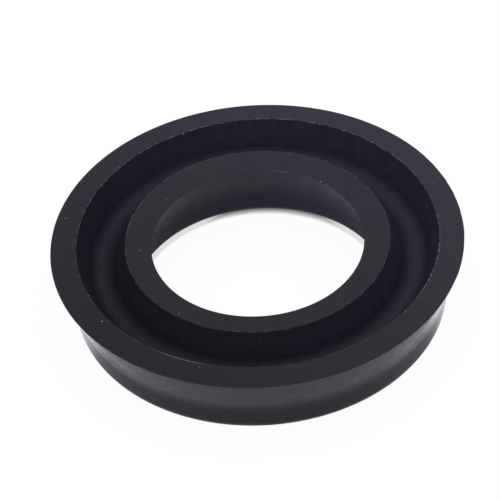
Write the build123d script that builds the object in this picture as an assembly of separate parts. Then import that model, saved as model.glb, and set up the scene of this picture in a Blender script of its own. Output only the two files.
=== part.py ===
from build123d import *
import math
import os

# U cup seal: one ring moulded in rubber. A solid heel with rounded corners carries two lips that
# flare apart, with a round-bottomed groove between them. The outer lip seals on a cylinder wall and
# the inner lip on a rod. Each lip's top face falls a little towards its sealing edge.
# Millimetres. +Z runs along the ring's axis from the heel towards the lips, and the origin is the
# centre of the heel face.
# The groove's bottom is a true arc. The heel's roundings and the blends into the lips are drawn as
# short straight steps along theirs, within 0.05 mm of them, so that the ring's mesh stays light.

# Sealing edges, free
OUTER_LIP_DIAMETER = 49.7
INNER_LIP_DIAMETER = 25.5

# Heel
HEEL_OUTSIDE_DIAMETER = 44.8
HEEL_BORE_DIAMETER = 30.5
HEEL_LAND = 3.8
HEEL_ROUNDING = 1.35
HEEL_ROUNDING_STEPS = 3

# Lips
HEIGHT = 9.7
LIP_FACE = 3.15
LIP_FALL = 0.43
LIP_BLEND = 5.0
LIP_BLEND_STEPS = 2

# Groove between the lips
GROOVE_DEPTH = 4.1
GROOVE_ROOT = 1.7

# Largest share of a straight stretch that one rounded corner may take up
CORNER_SHARE = 0.48


def heading(start, end):
    """Direction in radians from one point of the section to another."""
    return math.atan2(end[1] - start[1], end[0] - start[0])


def corner_turn(before, corner, after):
    """Angle in radians by which the outline turns at a corner, positive to the left."""
    return math.remainder(heading(corner, after) - heading(before, corner), math.tau)


def corner_radius(wanted, before, corner, after):
    """The wanted corner radius, or the largest that both straight stretches beside it can hold."""
    room = CORNER_SHARE * min(math.dist(before, corner), math.dist(corner, after))
    return min(wanted, room / math.tan(abs(corner_turn(before, corner, after)) / 2))


def step_out(point, direction, distance):
    """The point that lies at a distance from another, in a direction given in radians."""
    return (point[0] + distance * math.cos(direction), point[1] + distance * math.sin(direction))


def stepped_round(before, corner, after, radius, steps):
    """A rounded corner as points along its arc, for short straight steps between them."""
    turn = corner_turn(before, corner, after)
    arriving = heading(before, corner)
    to_centre = arriving + math.copysign(math.pi / 2, turn)
    first = step_out(corner, arriving, -radius * math.tan(abs(turn) / 2))
    centre = step_out(first, to_centre, radius)
    return [step_out(centre, to_centre + math.pi + turn * step / steps, radius)
            for step in range(steps + 1)]


def groove_apex(inner_edge, outer_edge):
    """Point where the groove's two straight walls would meet, below its round bottom."""
    half_mouth = (outer_edge[0] - inner_edge[0]) / 2
    root_below_mouth = GROOVE_DEPTH - GROOVE_ROOT
    to_root_centre = math.atan2(half_mouth, root_below_mouth)
    root_seen_from_edge = math.asin(GROOVE_ROOT / math.hypot(half_mouth, root_below_mouth))
    wall_angle = to_root_centre - root_seen_from_edge
    return (inner_edge[0] + half_mouth, HEIGHT - half_mouth / math.tan(wall_angle))


def section_corners():
    """Corners of the section as (radius, height), each with its rounding and number of steps.

    A rounding of 0 is a sharp edge, and a rounding with 0 steps is a true arc.
    """
    heel_inside = HEEL_BORE_DIAMETER / 2
    heel_outside = HEEL_OUTSIDE_DIAMETER / 2
    inner_lip = INNER_LIP_DIAMETER / 2
    outer_lip = OUTER_LIP_DIAMETER / 2
    inner_groove_edge = (inner_lip + LIP_FACE, HEIGHT)
    outer_groove_edge = (outer_lip - LIP_FACE, HEIGHT)
    return [
        ((heel_inside, 0), HEEL_ROUNDING, HEEL_ROUNDING_STEPS),
        ((heel_outside, 0), HEEL_ROUNDING, HEEL_ROUNDING_STEPS),
        ((heel_outside, HEEL_LAND), LIP_BLEND, LIP_BLEND_STEPS),
        ((outer_lip, HEIGHT - LIP_FALL), 0, 0),
        (outer_groove_edge, 0, 0),
        (groove_apex(inner_groove_edge, outer_groove_edge), GROOVE_ROOT, 0),
        (inner_groove_edge, 0, 0),
        ((inner_lip, HEIGHT - LIP_FALL), 0, 0),
        ((heel_inside, HEEL_LAND), LIP_BLEND, LIP_BLEND_STEPS),
    ]


def section_outline():
    """The section's points in order round it, and the radius of the true arc at each."""
    corners = section_corners()
    points = []
    radii = []
    for index, (corner, wanted, steps) in enumerate(corners):
        before = corners[index - 1][0]
        after = corners[(index + 1) % len(corners)][0]
        radius = corner_radius(wanted, before, corner, after)
        if steps:
            points.extend(stepped_round(before, corner, after, radius, steps))
            radii.extend([0] * (steps + 1))
        else:
            points.append(corner)
            radii.append(radius)
    return points, radii


def seal_ring():
    """The whole seal: its section turned once round the axis."""
    points, radii = section_outline()
    with BuildPart() as ring:
        with BuildSketch(Plane.XZ):
            with BuildLine():
                FilletPolyline(*points, radius=radii, close=True)
            make_face()
        revolve(axis=Axis.Z)
    return ring.part


os.makedirs("parts", exist_ok=True)
export_step(seal_ring(), "parts/seal_ring.step")
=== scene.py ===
import math
from types import SimpleNamespace
import bmesh
import bpy
from bpy.props import FloatProperty, FloatVectorProperty, IntProperty, PointerProperty
from bpy.types import Operator, Panel, PropertyGroup
from mathutils import Matrix, Vector


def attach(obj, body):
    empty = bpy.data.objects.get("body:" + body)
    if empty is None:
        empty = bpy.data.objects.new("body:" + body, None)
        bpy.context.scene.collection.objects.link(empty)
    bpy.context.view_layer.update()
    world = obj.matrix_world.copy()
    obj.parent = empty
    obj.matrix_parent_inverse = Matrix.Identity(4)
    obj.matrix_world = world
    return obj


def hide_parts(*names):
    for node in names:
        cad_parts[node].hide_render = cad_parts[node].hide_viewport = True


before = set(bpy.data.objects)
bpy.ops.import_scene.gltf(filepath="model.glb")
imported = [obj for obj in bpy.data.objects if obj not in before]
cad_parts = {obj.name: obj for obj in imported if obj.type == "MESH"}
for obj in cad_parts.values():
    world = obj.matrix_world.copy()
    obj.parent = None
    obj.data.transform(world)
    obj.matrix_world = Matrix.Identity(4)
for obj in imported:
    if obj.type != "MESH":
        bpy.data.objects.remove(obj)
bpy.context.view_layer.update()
RING_NODE = "seal_ring"

bl_info = {
    "name": "U Cup Seal",
    "version": (1, 0, 0),
    "blender": (4, 5, 0),
    "location": "3D View > Sidebar > Seal",
    "description": "Moulds a rubber U cup seal and lights it on a plain white table",
    "category": "Mesh",
}

MM = 0.001

# Vertices closer than this are one
WELD_DISTANCE = 1e-7

# Dent of the outer lip: the azimuth of its middle, and the half width in degrees of each of the
# equal presses that add up to it
DENT_AZIMUTH = 300
DENT_HALF_WIDTHS = (92, 86, 80, 74, 67, 57, 40)
# How far in from the sealing edge a press reaches, and the share of the height that it starts at
DENT_REACH = 0.35 * MM
DENT_START = 0.9

# Half width and depth of the strip along each of the groove's edges that the torn flash roughens
FLASH_STRIP = 0.1 * MM
FLASH_SEED = 5

# The values from here down to the outer line's offset are in millimetres on the ring
# Heights over which the groove's finish starts, just under its bottom
GROOVE_START = (4.8, 5.0)
# Depths under the sealing edges over which the lip faces' finish starts
FACE_START = (0.06, 0.01)
# Radii over which the bore's finish gives way to the outer wall's
WALL_START = (18.0, 20.0)
# Distances left and right from the axis over which the outer lip's face grows paler, a painted
# light on its two ends
END_START = (14.0, 24.0)
# Half width of the change of finish at the groove's edges
EDGE_FADE = 0.03
# Width of a line of flash with a painted glint, and how far out from its edge the outer one stands
FLASH_AND_GLINT_WIDTH = 0.09
FLASH_AND_GLINT_OFFSET = 0.05

# Sectors of the ring as the azimuth of the middle and the half width, in degrees: four where the
# flash carries a painted glint, then the two polished ends
RIGHT_FLASH_AND_GLINT = (350, 28)
NEAR_FLASH_AND_GLINT = (243, 9)
INNER_FLASH_AND_GLINT = ((150, 45), (40, 36))
ROD_FLASH_AND_GLINT = (60, 30)
POLISHED_ENDS = ((201, 36), (338, 36))
# Direction towards which the outer groove edge keeps the most flash and painted glint, where the
# edge catches the light
FAR_WAY = (-0.1, 1, 0)
# How thick the flash and its painted glint are: in its near sector, then all round and how much
# more in the sectors
NEAR_SHARE = 0.7
INNER_SHARES = (0.2, 0.36)
ROD_SHARES = (0.06, 0.75)
SCRATCH_SHARE = 0.35

# Share of a sector's half width, of a line's width and of a speck's radius that the mask fills
SECTOR_CORE = 0.35
LINE_CORE = 0.6
SPOT_EDGE = (0.6, 1.2)

# Noises as scale per millimetre, detail, and roughness where it isn't a half
SKIN_NOISE = (0.9, 1.5)
GRAIN_NOISE = (5.0, 2.0, 0.6)
CLOUD_NOISE = (0.32, 2.0)
COARSE_NOISE = (1.9, 2.0, 0.6)
FINE_NOISE = (1.1, 1.0)
PATCH_NOISE = (0.9, 1.0)
DIMPLE_NOISE = (1.7, 1.0)
# Range in which such a noise mostly lies, and what the skin and the grain make of it
NOISE_RANGE = (0.25, 0.75)
SKIN_MOTTLE = (0.9, 1.1)
GRAIN_MOTTLE = (-0.12, 0.12)
SKIN_ROUGHNESS = (-0.05, 0.05)

# How much the polished ends swell beside the skin
DIMPLE_SHARE = 0.6
LEAST_ROUGHNESS = 0.05

# The smoothed mesh keeps edges sharper than this
SHARP_ANGLE = math.radians(40)

# Radius on the table under the middle of the ring: the bore's side is inside it
RING_MIDDLE = 19 * MM
# The bore's contact shadow: where its middle is along X, the distances from there over which it
# fades, and how much of it is lifted past them
CONTACT_MIDDLE = 2 * MM
CONTACT_ENDS = (4 * MM, 9 * MM)
CONTACT_LIFT = 0.75
# Brightness of the table as the rubber mirrors it: inside the ring, and in front of and behind it,
# with the places along Y over which it changes from one to the other
MIRROR_INSIDE = 0.26
MIRROR_OUTSIDE = (0.32, 1.0)
MIRROR_START = (-11 * MM, -5 * MM)

# Softboxes as azimuth and elevation in degrees, then distance and width in metres
TOP_PLACE = (0, 90, 0.5, 0.4)
RIGHT_PLACE = (50, 50, 0.12, 0.08)
BACK_PLACE = (85, 25, 0.15, 0.08)

# Heights of the sky, from 0 level with the table to 1 overhead, over which the soft light starts
SKY_START = (0.18, 0.34)


class SealSizes(PropertyGroup):
    """Sizes of the ring's section."""

    outer_lip_radius: FloatProperty(
        name="Outer lip radius", description="Radius of the outer sealing edge",
        default=24.85 * MM, unit="LENGTH")
    inner_lip_radius: FloatProperty(
        name="Inner lip radius", description="Radius of the inner sealing edge",
        default=12.7 * MM, unit="LENGTH")
    heel_outer_radius: FloatProperty(
        name="Heel outer radius", description="Radius of the heel's outside",
        default=22.4 * MM, unit="LENGTH")
    heel_inner_radius: FloatProperty(
        name="Heel inner radius", description="Radius of the heel's bore",
        default=15.25 * MM, unit="LENGTH")
    heel_land: FloatProperty(
        name="Heel land", description="Height of the heel's straight sides",
        default=3.8 * MM, unit="LENGTH")
    height: FloatProperty(
        name="Height", description="Height of the lips above the table",
        default=9.7 * MM, unit="LENGTH")
    lip_face: FloatProperty(
        name="Lip face", description="Width of the face on top of each lip",
        default=3.15 * MM, unit="LENGTH")
    lip_fall: FloatProperty(
        name="Lip fall", description="Fall of a lip's face towards its sealing edge",
        default=0.43 * MM, unit="LENGTH")
    groove_depth: FloatProperty(
        name="Groove depth", description="Depth of the groove between the lips",
        default=4.1 * MM, unit="LENGTH")
    groove_root: FloatProperty(
        name="Groove root", description="Radius of the groove's round bottom",
        default=1.7 * MM, unit="LENGTH")
    lip_blend: FloatProperty(
        name="Lip blend", description="Radius where a lip flows into the heel",
        default=5.0 * MM, unit="LENGTH")
    heel_rounding: FloatProperty(
        name="Heel rounding", description="Radius of the heel's two corners",
        default=1.35 * MM, unit="LENGTH")
    edge_round: FloatProperty(
        name="Edge rounding", description="Rounding of the other three lip edges",
        default=0.06 * MM, unit="LENGTH")
    outer_edge_round: FloatProperty(
        name="Outer edge rounding", description="Rounding of the outer sealing edge",
        default=0.03 * MM, unit="LENGTH")
    edge_margin: FloatProperty(
        name="Edge margin", description="Width of the strip that keeps a lip's face flat",
        default=0.1 * MM, unit="LENGTH")
    lip_dent: FloatProperty(
        name="Lip dent", description="How far the outer lip stands in from round, near right",
        default=0.21 * MM, unit="LENGTH")
    edge_jitter: FloatProperty(
        name="Edge jitter", description="Unevenness of the flash along the groove's edges",
        default=0.03 * MM, unit="LENGTH")
    turns: IntProperty(
        name="Steps round", description="Number of steps round the ring", default=720)
    heel_steps: IntProperty(
        name="Heel steps", description="Number of steps in each heel rounding", default=10)
    blend_steps: IntProperty(
        name="Blend steps", description="Number of steps in each lip blend", default=8)
    edge_steps: IntProperty(
        name="Edge steps", description="Number of steps in each edge rounding", default=4)
    root_steps: IntProperty(
        name="Root steps", description="Number of steps in the groove's bottom", default=16)


class RubberFinish(PropertyGroup):
    """Colours and gloss of the rubber."""

    groove_colour: FloatVectorProperty(
        name="Groove", description="Colour of the groove", subtype="COLOR",
        size=3, default=(0.0134, 0.0121, 0.0247))
    bore_colour: FloatVectorProperty(
        name="Bore", description="Colour of the bore's wall", subtype="COLOR",
        size=3, default=(0.0193, 0.0177, 0.0362))
    wall_colour: FloatVectorProperty(
        name="Outer wall", description="Colour of the moulded outer wall", subtype="COLOR",
        size=3, default=(0.0134, 0.0127, 0.0190))
    warm_colour: FloatVectorProperty(
        name="Face, warm", description="Warmer patches of the trimmed lip faces",
        subtype="COLOR", size=3, default=(0.0123, 0.0114, 0.0178))
    cool_colour: FloatVectorProperty(
        name="Face, cool", description="Cooler patches of the trimmed lip faces",
        subtype="COLOR", size=3, default=(0.0106, 0.0097, 0.0195))
    # Pale colour of the lines along the edges: partly real flash, partly a painted highlight where
    # the edges catch the light
    flash_and_glint_colour: FloatVectorProperty(
        name="Flash and glint", description="Colour of the thin broken flash along the edges",
        subtype="COLOR", size=3, default=(0.16, 0.155, 0.175))
    dust_colour: FloatVectorProperty(
        name="Dust", description="Colour of the dust specks and the scratch", subtype="COLOR",
        size=3, default=(0.40, 0.39, 0.42))
    wall_roughness: FloatProperty(
        name="Outer wall", description="Roughness of the outer wall", subtype="FACTOR",
        default=0.3)
    bore_roughness: FloatProperty(
        name="Bore wall", description="Roughness of the bore's wall", subtype="FACTOR",
        default=0.45)
    face_roughness: FloatProperty(
        name="Lip faces", description="Roughness of the trimmed lip faces",
        subtype="FACTOR", default=0.45)
    groove_roughness: FloatProperty(
        name="Groove", description="Roughness of the groove", subtype="FACTOR",
        default=0.62)
    end_roughness: FloatProperty(
        name="Wall's smooth parts", description="Roughness of the outer wall left and right",
        subtype="FACTOR", default=0.15)
    # Painted light: the gradients below pale the colour towards the right and the back, and on the
    # outer lip's two ends, where more light falls
    face_painted_light: FloatVectorProperty(
        name="Face painted light", description="Paling of the lip faces per millimetre along X and Y",
        size=3, default=(0.0150, 0.0255, 0.0))
    groove_painted_light: FloatVectorProperty(
        name="Groove painted light", description="Paling of the groove per millimetre along X and Y",
        size=3, default=(0.0150, 0.0165, 0.0))
    bore_painted_light: FloatVectorProperty(
        name="Bore painted light", description="Paling of the bore per millimetre along X and Y",
        size=3, default=(0.0417, 0.0, 0.0))
    end_painted_light: FloatProperty(
        name="End painted light", description="Paling of the outer lip's face on the left and right",
        default=0.17)
    specular_level: FloatProperty(
        name="Specular level", description="Strength of the rubber's reflections",
        subtype="FACTOR", default=0.3)
    skin_swell: FloatProperty(
        name="Swell", description="Height of the moulded skin's slow unevenness",
        default=0.02 * MM, unit="LENGTH")
    grain_depth: FloatProperty(
        name="Grain", description="Depth of the rubber's fine grain", default=0.0012 * MM,
        unit="LENGTH")


class StageSettings(PropertyGroup):
    """Camera, table and lights."""

    elevation: FloatProperty(
        name="Elevation", description="Camera height angle above the table",
        default=math.radians(43.01), subtype="ANGLE")
    roll: FloatProperty(
        name="Roll", description="Camera roll", default=math.radians(-4.165), subtype="ANGLE")
    distance: FloatProperty(
        name="Distance", description="Camera distance from the point it aims at",
        default=0.5373, unit="LENGTH")
    lens: FloatProperty(
        name="Lens", description="Focal length in millimetres", default=324.0)
    sensor: FloatProperty(
        name="Sensor", description="Width of the camera's sensor in millimetres", default=36.0)
    aim: FloatVectorProperty(
        name="Aim", description="Point that the camera looks at", size=3, subtype="XYZ",
        unit="LENGTH", default=(-0.982 * MM, -0.59 * MM, 8.638 * MM))
    table_width: FloatProperty(
        name="Table width", description="Width of the square table", default=3.0, unit="LENGTH")
    table_gap: FloatProperty(
        name="Table gap", description="Hair's breadth between the heel and the table",
        default=0.02 * MM, unit="LENGTH")
    table_colour: FloatVectorProperty(
        name="Table", description="Colour of the table's paint", subtype="COLOR",
        size=3, default=(0.79, 0.785, 0.82))
    table_white: FloatProperty(
        name="Table white", description="Glow that makes the table look plain white",
        default=1.06)
    table_glow_share: FloatProperty(
        name="Table glow share", description="Share of that glow beside the lit paint",
        subtype="FACTOR", default=0.9)
    contact_reach: FloatProperty(
        name="Contact reach", description="Reach of the contact shadow inside the bore",
        default=0.75 * MM, unit="LENGTH")
    mirror_colour: FloatVectorProperty(
        name="Mirrored table", description="Colour of the table as the rubber mirrors it",
        subtype="COLOR", size=3, default=(0.98, 0.97, 1.04))
    light_colour: FloatVectorProperty(
        name="Light", description="Colour of the lamps and the surroundings", subtype="COLOR",
        size=3, default=(0.97, 0.963, 1.05))
    tent_strength: FloatProperty(
        name="Tent", description="Strength of the soft light from all round", default=0.7)
    top_energy: FloatProperty(
        name="Top", description="Power of the softbox overhead", default=0.418, unit="POWER")
    right_energy: FloatProperty(
        name="Right", description="Power of the small softbox close behind on the right",
        default=0.005, unit="POWER")
    back_energy: FloatProperty(
        name="Back", description="Power of the small softbox low behind", default=0.002,
        unit="POWER")


def deselect_all():
    """Leave nothing selected and no object in edit mode."""
    if bpy.context.object and bpy.context.object.mode != "OBJECT":
        bpy.ops.object.mode_set(mode="OBJECT")
    bpy.ops.object.select_all(action="DESELECT")


def arc_points(centre, radius, start, stop, steps):
    """Points along an arc in the section, from the start to the stop angle."""
    points = []
    for step in range(steps + 1):
        angle = start + (stop - start) * step / steps
        points.append((centre[0] + radius * math.cos(angle), centre[1] + radius * math.sin(angle)))
    return points


def rounded_corner(before, corner, after, radius, steps, margins):
    """Points of the arc that rounds one corner, and one at each of the margins that isn't 0."""
    corner_at = Vector(corner)
    to_before = (Vector(before) - corner_at).normalized()
    to_after = (Vector(after) - corner_at).normalized()
    half_inside = to_before.angle(to_after) / 2
    centre = corner_at + (to_before + to_after).normalized() * (radius / math.sin(half_inside))
    reach = radius / math.tan(half_inside)
    first = corner_at + to_before * reach - centre
    last = corner_at + to_after * reach - centre
    start = math.atan2(first.y, first.x)
    sweep = math.remainder(math.atan2(last.y, last.x) - start, math.tau)
    arc = arc_points(centre, radius, start, start + sweep, steps)
    if margins[0]:
        arc.insert(0, tuple(corner_at + to_before * (reach + margins[0])))
    if margins[1]:
        arc.append(tuple(corner_at + to_after * (reach + margins[1])))
    return arc


def groove_apex(sizes, inner_edge, outer_edge):
    """Point where the groove's straight walls would meet below its round bottom."""
    half_mouth = (outer_edge[0] - inner_edge[0]) / 2
    root_below = sizes.groove_depth - sizes.groove_root
    to_centre = math.atan2(half_mouth, root_below)
    seen_from_edge = math.asin(sizes.groove_root / math.hypot(half_mouth, root_below))
    return (inner_edge[0] + half_mouth,
            sizes.height - half_mouth / math.tan(to_centre - seen_from_edge))


def section_outline(sizes):
    """The ring's closed section as (radius, height) points."""
    seal_height = sizes.height - sizes.lip_fall
    inner_edge = (sizes.inner_lip_radius + sizes.lip_face, sizes.height)
    outer_edge = (sizes.outer_lip_radius - sizes.lip_face, sizes.height)
    margin = sizes.edge_margin
    corners = [
        ((sizes.heel_inner_radius, 0.0), sizes.heel_rounding, sizes.heel_steps, (0, 0)),
        ((sizes.heel_outer_radius, 0.0), sizes.heel_rounding, sizes.heel_steps, (0, 0)),
        ((sizes.heel_outer_radius, sizes.heel_land), sizes.lip_blend, sizes.blend_steps, (0, 0)),
        ((sizes.outer_lip_radius, seal_height), sizes.outer_edge_round, sizes.edge_steps,
         (0, margin)),
        (outer_edge, sizes.edge_round, sizes.edge_steps, (margin, margin)),
        (groove_apex(sizes, inner_edge, outer_edge), sizes.groove_root, sizes.root_steps, (0, 0)),
        (inner_edge, sizes.edge_round, sizes.edge_steps, (margin, margin)),
        ((sizes.inner_lip_radius, seal_height), sizes.edge_round, sizes.edge_steps, (margin, 0)),
        ((sizes.heel_inner_radius, sizes.heel_land), sizes.lip_blend, sizes.blend_steps, (0, 0)),
    ]
    points = []
    for index, (corner, radius, steps, margins) in enumerate(corners):
        before = corners[index - 1][0]
        after = corners[(index + 1) % len(corners)][0]
        points.extend(rounded_corner(before, corner, after, radius, steps, margins))
    return points


def turn_section(name, outline, turns):
    """Make a closed ring by extruding one circle along the outline and bridging its two ends."""
    deselect_all()
    radius, height = outline[0]
    bpy.ops.mesh.primitive_circle_add(vertices=turns, radius=radius, location=(0, 0, height))
    ring = bpy.context.object
    ring.name = name
    ring.data.name = name
    bpy.ops.object.transform_apply(location=True, rotation=True, scale=True)
    bpy.ops.object.mode_set(mode="EDIT")
    bpy.ops.mesh.select_mode(type="EDGE")
    bpy.ops.mesh.select_all(action="SELECT")
    for next_radius, next_height in outline[1:]:
        bpy.ops.mesh.extrude_edges_move(
            TRANSFORM_OT_translate={"value": (0, 0, next_height - height)})
        growth = next_radius / radius
        bpy.ops.transform.resize(value=(growth, growth, 1), center_override=(0, 0, next_height))
        radius, height = next_radius, next_height
    bpy.ops.mesh.select_all(action="DESELECT")
    bpy.ops.mesh.select_mode(type="VERT")
    bpy.ops.mesh.select_non_manifold()
    bpy.ops.mesh.bridge_edge_loops()
    bpy.ops.mesh.select_all(action="SELECT")
    bpy.ops.mesh.remove_doubles(threshold=WELD_DISTANCE)
    bpy.ops.mesh.normals_make_consistent(inside=False)
    bpy.ops.object.mode_set(mode="OBJECT")
    return ring


def select_vertices(ring, wanted):
    """Select the vertices of the ring whose (azimuth, radius, height) pass a test."""
    bpy.ops.mesh.select_mode(type="VERT")
    bpy.ops.mesh.select_all(action="DESELECT")
    mesh = bmesh.from_edit_mesh(ring.data)
    for vertex in mesh.verts:
        azimuth = math.degrees(math.atan2(vertex.co.y, vertex.co.x)) % 360
        if wanted(azimuth, vertex.co.xy.length, vertex.co.z):
            vertex.select_set(True)
    mesh.select_flush_mode()
    bmesh.update_edit_mesh(ring.data)


def press_lip(ring, sizes):
    """Press the outer sealing edge in from round, most in the middle of its near right part."""
    growth = 1 - sizes.lip_dent / len(DENT_HALF_WIDTHS) / sizes.outer_lip_radius
    for half_width in DENT_HALF_WIDTHS:
        select_vertices(ring, lambda azimuth, radius, height: (
            radius > sizes.outer_lip_radius - DENT_REACH and height > sizes.height * DENT_START
            and abs(math.remainder(azimuth - DENT_AZIMUTH, 360)) < half_width))
        bpy.ops.transform.resize(value=(growth, growth, 1), center_override=(0, 0, sizes.height))


def roughen_groove_edges(ring, sizes):
    """Make the flash along the groove's two upper edges slightly uneven."""
    for edge in (sizes.outer_lip_radius - sizes.lip_face, sizes.inner_lip_radius + sizes.lip_face):
        select_vertices(ring, lambda azimuth, radius, height: (
            abs(radius - edge) < FLASH_STRIP and height > sizes.height - FLASH_STRIP))
        bpy.ops.transform.vertex_random(
            offset=sizes.edge_jitter, uniform=0.0, normal=0.0, seed=FLASH_SEED)


class NodeBench:
    """Adds shader nodes to one node tree and joins them."""

    def __init__(self, tree):
        self.nodes = tree.nodes
        self.links = tree.links

    def feed(self, socket, value):
        """Join a socket to another one, or set its value."""
        if isinstance(value, bpy.types.NodeSocket):
            self.links.new(value, socket)
        else:
            socket.default_value = value

    def add(self, kind, **inputs):
        """A new node, with the named inputs fed. An underscore stands for a space in a name."""
        node = self.nodes.new(kind)
        for name, value in inputs.items():
            self.feed(node.inputs[name.replace("_", " ")], value)
        return node

    def math(self, operation, *values):
        """One step of arithmetic."""
        node = self.add("ShaderNodeMath")
        node.operation = operation
        for socket, value in zip(node.inputs, values):
            self.feed(socket, value)
        return node.outputs[0]

    def vector(self, operation, *values):
        """One step of vector arithmetic, as its vector and its number."""
        node = self.add("ShaderNodeVectorMath")
        node.operation = operation
        for socket, value in zip(node.inputs, values):
            self.feed(socket, value)
        return node.outputs[0], node.outputs[1]

    def scaled(self, vector, factor):
        """A vector, or a colour, times a number."""
        node = self.add("ShaderNodeVectorMath")
        node.operation = "SCALE"
        self.feed(node.inputs[0], vector)
        self.feed(node.inputs["Scale"], factor)
        return node.outputs[0]

    def fade(self, value, low, high, start=0.0, stop=1.0):
        """A smooth change from start to stop while the value goes from low to high."""
        node = self.add("ShaderNodeMapRange", Value=value, From_Min=low, From_Max=high,
                        To_Min=start, To_Max=stop)
        node.interpolation_type = "SMOOTHSTEP"
        return node.outputs["Result"]

    def noise(self, place, scale, detail=2.0, roughness=0.5):
        """Cloudy noise in steps of 1 / scale millimetres, from 0 to 1."""
        node = self.add("ShaderNodeTexNoise", Vector=place, Scale=scale, Detail=detail,
                        Roughness=roughness)
        return node.outputs["Fac"]

    def choose(self, share, first, second):
        """A number between two, nearer the second as the share grows."""
        return self.add("ShaderNodeMix", Factor=share, A=first, B=second).outputs["Result"]

    def blend(self, share, first, second):
        """A mix of two colours."""
        node = self.nodes.new("ShaderNodeMix")
        node.data_type = "RGBA"
        for name, value in (("Factor", share), ("A", first), ("B", second)):
            self.feed(node.inputs[name], value)
        return node.outputs["Result"]

    def mix_shaders(self, share, first, second):
        """A mix of two shaders."""
        node = self.add("ShaderNodeMixShader", Fac=share)
        self.feed(node.inputs[1], first)
        self.feed(node.inputs[2], second)
        return node.outputs["Shader"]

    def bump(self, height, depth, **inputs):
        """The surface's direction with a relief of the given depth on it."""
        return self.add("ShaderNodeBump", Strength=1.0, Distance=depth, Height=height,
                        **inputs).outputs["Normal"]


def opaque(colour):
    """A colour with the fourth number that colour sockets take."""
    return (*colour, 1)


# Dust specks as azimuth in degrees, radius and height in mm, radius of the speck in mm
DUST_SPECKS = (
    (112.0, 21.62, 9.68, 0.125),
    (125.8, 15.88, 9.68, 0.085),
    (180.6, 14.05, 9.46, 0.075),
    (50.5, 12.80, 9.27, 0.08),
    (42.5, 21.68, 9.68, 0.085),
    (30.0, 15.86, 9.68, 0.06),
    (13.2, 21.15, 8.50, 0.07),
    (81.9, 15.86, 9.68, 0.06),
    (212.4, 22.42, 9.60, 0.085),
    (200.3, 21.75, 9.68, 0.065),
    (229.9, 15.29, 9.62, 0.06),
    (319.8, 21.85, 9.66, 0.06),
    (249.5, 22.30, 9.60, 0.045),
    (141.0, 13.60, 9.40, 0.05),
    (98.0, 23.10, 9.51, 0.045),
    (20.0, 22.90, 9.53, 0.05),
    (300.0, 23.60, 9.44, 0.045),
)

# Shallow scratch across the outer lip: azimuth, radius and height of its middle, then its length,
# width and depth in mm, and its turn from the radial direction in degrees
SCRATCH = (163.9, 23.7, 9.43, 0.62, 0.13, 0.2, 18.0)


def speck_place(azimuth, radius, height):
    """Place of a speck in millimetres."""
    turn = math.radians(azimuth)
    return (radius * math.cos(turn), radius * math.sin(turn), height)


def spot(bench, place, centre, turn, size):
    """Mask of an ellipsoid with soft sides: 1 at its middle and 0 outside it."""
    fitted = bench.nodes.new("ShaderNodeMapping")
    fitted.vector_type = "TEXTURE"
    bench.feed(fitted.inputs["Vector"], place)
    fitted.inputs["Location"].default_value = centre
    fitted.inputs["Rotation"].default_value = (0, 0, turn)
    fitted.inputs["Scale"].default_value = size
    distance = bench.vector("LENGTH", fitted.outputs["Vector"])[1]
    return bench.fade(distance, *SPOT_EDGE, 1.0, 0.0)


def sector(bench, ring, azimuth, half_width):
    """Mask of a sector of the ring: 1 at its middle and 0 outside its half width in degrees."""
    turn = math.radians(azimuth)
    facing = bench.vector("DOT_PRODUCT", ring.around, (math.cos(turn), math.sin(turn), 0))[1]
    return bench.fade(facing, math.cos(math.radians(half_width)),
                      math.cos(math.radians(half_width * SECTOR_CORE)))


def two_sectors(bench, ring, pair):
    """Mask of two sectors of the ring."""
    return bench.math("MAXIMUM", sector(bench, ring, *pair[0]), sector(bench, ring, *pair[1]))


def edge_line(bench, ring, edge):
    """Mask of a thin line along one edge of the section."""
    across = bench.math("SUBTRACT", ring.radius, edge[0])
    above = bench.math("SUBTRACT", ring.height, edge[1])
    distance = bench.math("SQRT", bench.math("ADD", bench.math("MULTIPLY", across, across),
                                             bench.math("MULTIPLY", above, above)))
    return bench.fade(distance, FLASH_AND_GLINT_WIDTH * LINE_CORE, FLASH_AND_GLINT_WIDTH, 1.0, 0.0)


def ring_places(bench, sizes):
    """Places on the ring in millimetres, masks of its surfaces, and noise shared by its looks."""
    metres = bench.add("ShaderNodeTexCoord").outputs["Object"]
    place = bench.add("ShaderNodeMapping", Vector=metres, Scale=(1 / MM,) * 3).outputs["Vector"]
    flat = bench.vector("MULTIPLY", place, (1, 1, 0))[0]
    split = bench.add("ShaderNodeSeparateXYZ", Vector=place)
    ring = SimpleNamespace(
        place=place, sideways=split.outputs["X"], height=split.outputs["Z"],
        radius=bench.vector("LENGTH", flat)[1], around=bench.vector("NORMALIZE", flat)[0],
        skin=bench.noise(place, *SKIN_NOISE), grain=bench.noise(place, *GRAIN_NOISE))

    ring.inner_edge = ((sizes.inner_lip_radius + sizes.lip_face) / MM, sizes.height / MM)
    ring.outer_edge = ((sizes.outer_lip_radius - sizes.lip_face) / MM, sizes.height / MM)
    ring.rod_edge = (sizes.inner_lip_radius / MM, (sizes.height - sizes.lip_fall) / MM)
    past_inner = bench.fade(ring.radius, ring.inner_edge[0] - EDGE_FADE,
                            ring.inner_edge[0] + EDGE_FADE)
    short_of_outer = bench.fade(ring.radius, ring.outer_edge[0] - EDGE_FADE,
                                ring.outer_edge[0] + EDGE_FADE, 1.0, 0.0)
    in_mouth = bench.math("MULTIPLY", past_inner, short_of_outer)
    ring.groove = bench.math("MULTIPLY", in_mouth, bench.fade(ring.height, *GROOVE_START))
    top = bench.fade(ring.height, ring.rod_edge[1] - FACE_START[0],
                     ring.rod_edge[1] - FACE_START[1])
    ring.face = bench.math("MULTIPLY", top, bench.math("SUBTRACT", 1.0, ring.groove))
    ring.outside = bench.fade(ring.radius, *WALL_START)
    return ring


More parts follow.
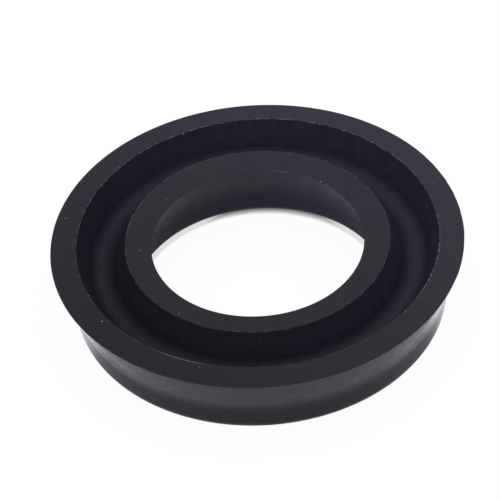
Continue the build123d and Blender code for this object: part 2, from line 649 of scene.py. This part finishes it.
def painted_light_gradient(bench, ring, finish):
    """Factor of painted light: it pales the rubber from the near left to the far right, and the
    outer lip's face at its left and right ends, where more light falls.
    """
    ends = bench.fade(bench.math("ABSOLUTE", ring.sideways), *END_START, 0.0, finish.end_painted_light)
    on_face = bench.math("ADD", ends,
                         bench.vector("DOT_PRODUCT", ring.place, finish.face_painted_light)[1])
    in_groove = bench.vector("DOT_PRODUCT", ring.place, finish.groove_painted_light)[1]
    in_bore = bench.vector("DOT_PRODUCT", ring.place, finish.bore_painted_light)[1]
    on_walls = bench.math("MULTIPLY", in_bore, bench.math("SUBTRACT", 1.0, ring.outside))
    off_groove = bench.choose(ring.face, on_walls, on_face)
    return bench.math("ADD", 1.0, bench.choose(ring.groove, off_groove, in_groove))


def rubber_colour(bench, ring, finish):
    """Colour of the clean rubber, with its mottle and its painted light gradient."""
    cloud = bench.noise(ring.place, *CLOUD_NOISE)
    tinted = bench.blend(bench.fade(cloud, 0.35, 0.65), opaque(finish.warm_colour),
                         opaque(finish.cool_colour))
    walled = bench.blend(ring.outside, opaque(finish.bore_colour), opaque(finish.wall_colour))
    moulded = bench.blend(ring.groove, walled, opaque(finish.groove_colour))
    body = bench.blend(ring.face, moulded, tinted)
    mottle = bench.math("ADD", bench.fade(ring.skin, *NOISE_RANGE, *SKIN_MOTTLE),
                        bench.fade(ring.grain, *NOISE_RANGE, *GRAIN_MOTTLE))
    return bench.scaled(body, bench.math("MULTIPLY", mottle, painted_light_gradient(bench, ring, finish)))


def flash_and_glint_share(bench, ring):
    """Share of flash and painted glint at each place: thin broken lines along the groove's edges
    and the rod's, partly real flash and partly painted highlights where the edges catch the light.
    """
    coarse_break = bench.fade(bench.noise(ring.place, *COARSE_NOISE), 0.44, 0.62)
    fine_break = bench.fade(bench.noise(ring.place, *FINE_NOISE), 0.40, 0.60)

    far = bench.fade(bench.vector("DOT_PRODUCT", ring.around, FAR_WAY)[1], 0.0, 0.9, 0.15, 0.85)
    far_or_right = bench.math("MAXIMUM", far, sector(bench, ring, *RIGHT_FLASH_AND_GLINT))
    broken = bench.math("MULTIPLY", far_or_right, coarse_break)
    near = bench.math("MULTIPLY", sector(bench, ring, *NEAR_FLASH_AND_GLINT), NEAR_SHARE)
    flash_and_glint_edge = (ring.outer_edge[0] + FLASH_AND_GLINT_OFFSET, ring.outer_edge[1])
    outer = bench.math("MULTIPLY", edge_line(bench, ring, flash_and_glint_edge),
                       bench.math("MAXIMUM", broken, near))

    least, more = INNER_SHARES
    inner_share = bench.math("MULTIPLY_ADD", two_sectors(bench, ring, INNER_FLASH_AND_GLINT), more, least)
    inner = bench.math("MULTIPLY", edge_line(bench, ring, ring.inner_edge),
                       bench.math("MULTIPLY", fine_break, inner_share))

    least, more = ROD_SHARES
    rod_break = bench.math("MULTIPLY", sector(bench, ring, *ROD_FLASH_AND_GLINT), fine_break)
    rod = bench.math("MULTIPLY", edge_line(bench, ring, ring.rod_edge),
                     bench.math("MULTIPLY_ADD", rod_break, more, least))
    return bench.math("ADD", outer, bench.math("ADD", inner, rod))


def marked_colour(bench, ring, finish, colour):
    """The rubber's colour with the flash and its painted glints, the scratch and the dust specks
    on it.
    """
    # Pale lines that are partly flash and partly painted highlights
    flashed_and_glinted = bench.blend(flash_and_glint_share(bench, ring), colour, opaque(finish.flash_and_glint_colour))

    dust = 0.0
    for azimuth, radius, height, size in DUST_SPECKS:
        speck = spot(bench, ring.place, speck_place(azimuth, radius, height), 0, (size,) * 3)
        dust = bench.math("MAXIMUM", dust, speck)
    azimuth, radius, height, length, width, depth, turn = SCRATCH
    scratch = spot(bench, ring.place, speck_place(azimuth, radius, height),
                   math.radians(azimuth + turn), (length / 2, width / 2, depth / 2))
    scratched = bench.blend(bench.math("MULTIPLY", scratch, SCRATCH_SHARE), flashed_and_glinted,
                            opaque(finish.dust_colour))
    return bench.blend(dust, scratched, opaque(finish.dust_colour))


def polish_share(bench, ring):
    """Share of polish at each place: uneven patches at the two ends of the outer wall."""
    patches = bench.fade(bench.noise(ring.place, *PATCH_NOISE), 0.3, 0.6, 0.65, 1.0)
    ends = bench.math("MULTIPLY", two_sectors(bench, ring, POLISHED_ENDS), ring.outside)
    return bench.math("MULTIPLY", ends, patches)


def rubber_roughness(bench, ring, finish, polish):
    """Roughness of the rubber, slightly uneven all over."""
    dull = bench.fade(ring.outside, 0.0, 1.0, finish.bore_roughness, finish.wall_roughness)
    smoothed = bench.math("MULTIPLY", polish, finish.wall_roughness - finish.end_roughness)
    walls = bench.math("SUBTRACT", dull, smoothed)
    off_groove = bench.choose(ring.face, walls, finish.face_roughness)
    even = bench.choose(ring.groove, off_groove, finish.groove_roughness)
    rough = bench.math("ADD", even, bench.fade(ring.skin, *NOISE_RANGE, *SKIN_ROUGHNESS))
    return bench.math("MAXIMUM", rough, LEAST_ROUGHNESS)


def rubber_relief(bench, ring, finish, polish):
    """The surface's direction with the skin's slow swell and its fine grain."""
    dimples = bench.math("MULTIPLY", polish, bench.noise(ring.place, *DIMPLE_NOISE))
    swollen = bench.math("MULTIPLY_ADD", dimples, DIMPLE_SHARE, ring.skin)
    swell = bench.bump(swollen, finish.skin_swell)
    return bench.bump(ring.grain, finish.grain_depth, Normal=swell)


def rubber_material(finish, sizes):
    """Moulded black rubber: trimmed lip faces, satin walls, a matt groove, flash with painted
    glints, dust, and painted light that pales it towards the far right.
    """
    material = bpy.data.materials.new("moulded_rubber")
    material.use_nodes = True
    bench = NodeBench(material.node_tree)
    shader = bench.nodes["Principled BSDF"]
    ring = ring_places(bench, sizes)
    polish = polish_share(bench, ring)
    clean = rubber_colour(bench, ring, finish)
    bench.feed(shader.inputs["Base Color"], marked_colour(bench, ring, finish, clean))
    bench.feed(shader.inputs["Roughness"], rubber_roughness(bench, ring, finish, polish))
    bench.feed(shader.inputs["Normal"], rubber_relief(bench, ring, finish, polish))
    shader.inputs["Specular IOR Level"].default_value = finish.specular_level
    return material


class SEAL_OT_ring(Operator):
    """Mould the rubber ring."""

    bl_idname = "seal.ring"
    bl_label = "Mould Ring"

    def execute(self, context):
        sizes = context.scene.seal_sizes
        ring = turn_section("moulded_ring", section_outline(sizes), sizes.turns)
        bpy.ops.object.mode_set(mode="EDIT")
        press_lip(ring, sizes)
        roughen_groove_edges(ring, sizes)
        bpy.ops.object.mode_set(mode="OBJECT")
        bpy.ops.object.shade_smooth_by_angle(angle=SHARP_ANGLE)
        ring.data.materials.append(rubber_material(context.scene.rubber_finish, sizes))
        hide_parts(RING_NODE)
        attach(ring, "root")
        return {"FINISHED"}


def contact_shade(bench, across, outside, settings):
    """Light left by the contact shadow along the middle of the bore's far and near edges."""
    from_middle = bench.math("ABSOLUTE", bench.math("SUBTRACT", across, CONTACT_MIDDLE))
    lifted = bench.fade(from_middle, *CONTACT_ENDS, 0.0, CONTACT_LIFT)
    contact = bench.add("ShaderNodeAmbientOcclusion", Distance=settings.contact_reach)
    return bench.math("MAXIMUM", contact.outputs["AO"], bench.math("MAXIMUM", outside, lifted))


def table_material(settings):
    """White table that keeps the seal's soft shadow, with a contact shadow inside the bore."""
    material = bpy.data.materials.new("white_table")
    material.use_nodes = True
    material.node_tree.nodes.clear()
    bench = NodeBench(material.node_tree)
    place = bench.add("ShaderNodeTexCoord").outputs["Object"]
    split = bench.add("ShaderNodeSeparateXYZ", Vector=place)
    outside = bench.math("GREATER_THAN", bench.vector("LENGTH", place)[1], RING_MIDDLE)
    ray = bench.add("ShaderNodeLightPath")
    paint = bench.add("ShaderNodeBsdfDiffuse",
                      Color=opaque(settings.table_colour)).outputs["BSDF"]

    shade = contact_shade(bench, split.outputs["X"], outside, settings)
    glow = bench.add("ShaderNodeEmission",
                     Strength=bench.math("MULTIPLY", shade, settings.table_white))
    seen = bench.mix_shaders(settings.table_glow_share, paint, glow.outputs["Emission"])

    beside = bench.fade(split.outputs["Y"], *MIRROR_START, *MIRROR_OUTSIDE)
    strength = bench.math("MULTIPLY", ray.outputs["Is Glossy Ray"],
                          bench.choose(outside, MIRROR_INSIDE, beside))
    mirrored = bench.add("ShaderNodeEmission", Color=opaque(settings.mirror_colour),
                         Strength=strength)
    lit = bench.add("ShaderNodeAddShader")
    bench.feed(lit.inputs[0], paint)
    bench.feed(lit.inputs[1], mirrored.outputs["Emission"])

    surface = bench.mix_shaders(ray.outputs["Is Camera Ray"], lit.outputs["Shader"], seen)
    bench.add("ShaderNodeOutputMaterial", Surface=surface)
    return material


def studio_world(settings):
    """Soft light from all round above the table's far edge, and plain white behind the seal."""
    world = bpy.data.worlds.new("studio")
    world.use_nodes = True
    bench = NodeBench(world.node_tree)
    direction = bench.add("ShaderNodeTexCoord").outputs["Generated"]
    upward = bench.add("ShaderNodeSeparateXYZ", Vector=direction).outputs["Z"]
    tent = bench.nodes["Background"]
    bench.feed(tent.inputs["Color"], opaque(settings.light_colour))
    bench.feed(tent.inputs["Strength"],
               bench.fade(upward, *SKY_START, 0.0, settings.tent_strength))
    white = bench.add("ShaderNodeBackground", Color=opaque((1, 1, 1)))
    ray = bench.add("ShaderNodeLightPath")
    surface = bench.mix_shaders(ray.outputs["Is Camera Ray"], tent.outputs["Background"],
                                white.outputs["Background"])
    bench.feed(bench.nodes["World Output"].inputs["Surface"], surface)
    return world


def add_softbox(name, azimuth, elevation, distance, size, energy, colour):
    """Add a square lamp that points at the seal from an azimuth and an elevation."""
    turn = math.radians(azimuth)
    lift = math.radians(elevation)
    place = Vector((math.cos(lift) * math.cos(turn), math.cos(lift) * math.sin(turn),
                    math.sin(lift))) * distance
    bpy.ops.object.light_add(type="AREA", location=place)
    lamp = bpy.context.object
    lamp.name = name
    lamp.rotation_euler = place.to_track_quat("Z", "Y").to_euler()
    lamp.data.shape = "SQUARE"
    lamp.data.size = size
    lamp.data.energy = energy
    lamp.data.color = colour


class SEAL_OT_stage(Operator):
    """Set the white table, the lights and the camera."""

    bl_idname = "seal.stage"
    bl_label = "Set Stage"

    def execute(self, context):
        settings = context.scene.seal_stage
        deselect_all()
        bpy.ops.mesh.primitive_plane_add(
            size=settings.table_width, location=(0, 0, -settings.table_gap))
        table = context.object
        table.name = "table"
        table.data.materials.append(table_material(settings))

        context.scene.world = studio_world(settings)
        colour = settings.light_colour
        add_softbox("top_softbox", *TOP_PLACE, settings.top_energy, colour)
        add_softbox("right_softbox", *RIGHT_PLACE, settings.right_energy, colour)
        add_softbox("back_softbox", *BACK_PLACE, settings.back_energy, colour)

        bpy.ops.object.camera_add()
        camera = context.object
        camera.name = "camera"
        camera.data.lens = settings.lens
        camera.data.sensor_width = settings.sensor
        camera.data.clip_start = 0.01
        turn = (Matrix.Rotation(math.pi / 2 - settings.elevation, 3, "X")
                @ Matrix.Rotation(settings.roll, 3, "Z"))
        camera.rotation_euler = turn.to_euler()
        camera.location = Vector(settings.aim) + turn @ Vector((0, 0, settings.distance))
        context.scene.camera = camera
        context.scene.view_settings.view_transform = "Standard"
        return {"FINISHED"}


class SEAL_PT_panel(Panel):
    """Sidebar panel that lists the seal's steps."""

    bl_idname = "SEAL_PT_panel"
    bl_label = "U Cup Seal"
    bl_space_type = "VIEW_3D"
    bl_region_type = "UI"
    bl_category = "Seal"

    def draw(self, context):
        """List the steps as buttons."""
        for operator in (SEAL_OT_ring, SEAL_OT_stage):
            self.layout.operator(operator.bl_idname)


CLASSES = (SealSizes, RubberFinish, StageSettings, SEAL_OT_ring, SEAL_OT_stage, SEAL_PT_panel)


def register():
    """Add the classes and the scene's settings."""
    for item in CLASSES:
        bpy.utils.register_class(item)
    bpy.types.Scene.seal_sizes = PointerProperty(type=SealSizes)
    bpy.types.Scene.rubber_finish = PointerProperty(type=RubberFinish)
    bpy.types.Scene.seal_stage = PointerProperty(type=StageSettings)


def unregister():
    """Take the settings and the classes away again."""
    del bpy.types.Scene.seal_stage
    del bpy.types.Scene.rubber_finish
    del bpy.types.Scene.seal_sizes
    for item in reversed(CLASSES):
        bpy.utils.unregister_class(item)


def main():
    """Build the seal and its stage."""
    register()
    bpy.ops.seal.ring()
    bpy.ops.seal.stage()


if __name__ == "__main__":
    main()
